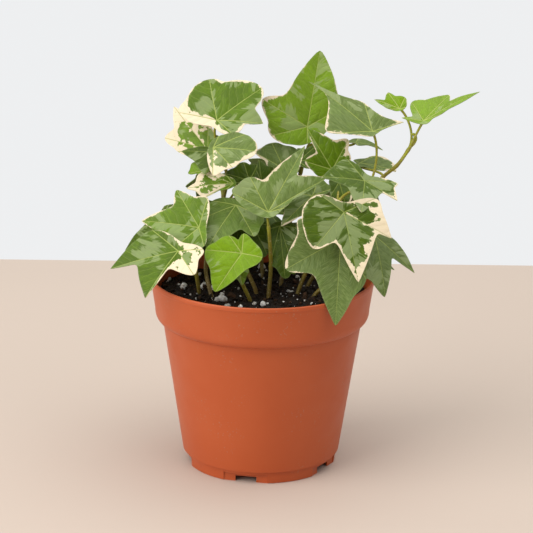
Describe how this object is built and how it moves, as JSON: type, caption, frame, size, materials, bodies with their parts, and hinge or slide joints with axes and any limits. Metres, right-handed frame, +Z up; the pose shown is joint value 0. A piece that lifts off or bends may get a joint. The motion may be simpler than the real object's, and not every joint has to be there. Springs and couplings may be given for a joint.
{
  "type": "potted ivy",
  "caption": "Variegated ivy with lobed leaves on upright leafy stems, growing from potting mix in a tapered plastic nursery pot with a rim band.",
  "frame": {"origin": "on the table surface, below the middle of the whole plant's outline seen from above; the pot's axis lies to its left and front because the plant leans out to the right", "axes": "+Z up along the pot's axis, +X to the right and +Y away from the viewer in the front view"},
  "size_m": [0.1796, 0.122, 0.2017],
  "materials": {
    "pot": "smooth moulded terracotta-coloured plastic with a soft sheen",
    "soil": "loose dark potting mix with bark and white perlite",
    "ivy": "smooth variegated leaves, dark and grey green with cream margins, on brown-green stems"
  },
  "bodies": {
    "root": {"pot": "pot", "soil": "soil", "ivy_stem_01": "ivy", "ivy_stem_02": "ivy", "ivy_stem_03": "ivy", "ivy_stem_04": "ivy", "ivy_stem_05": "ivy", "ivy_stem_06": "ivy", "ivy_stem_07": "ivy", "ivy_stem_08": "ivy", "ivy_stem_09": "ivy", "ivy_stem_10": "ivy", "ivy_stem_11": "ivy", "ivy_stem_12": "ivy", "ivy_stem_13": "ivy"}
  },
  "joints": []
}
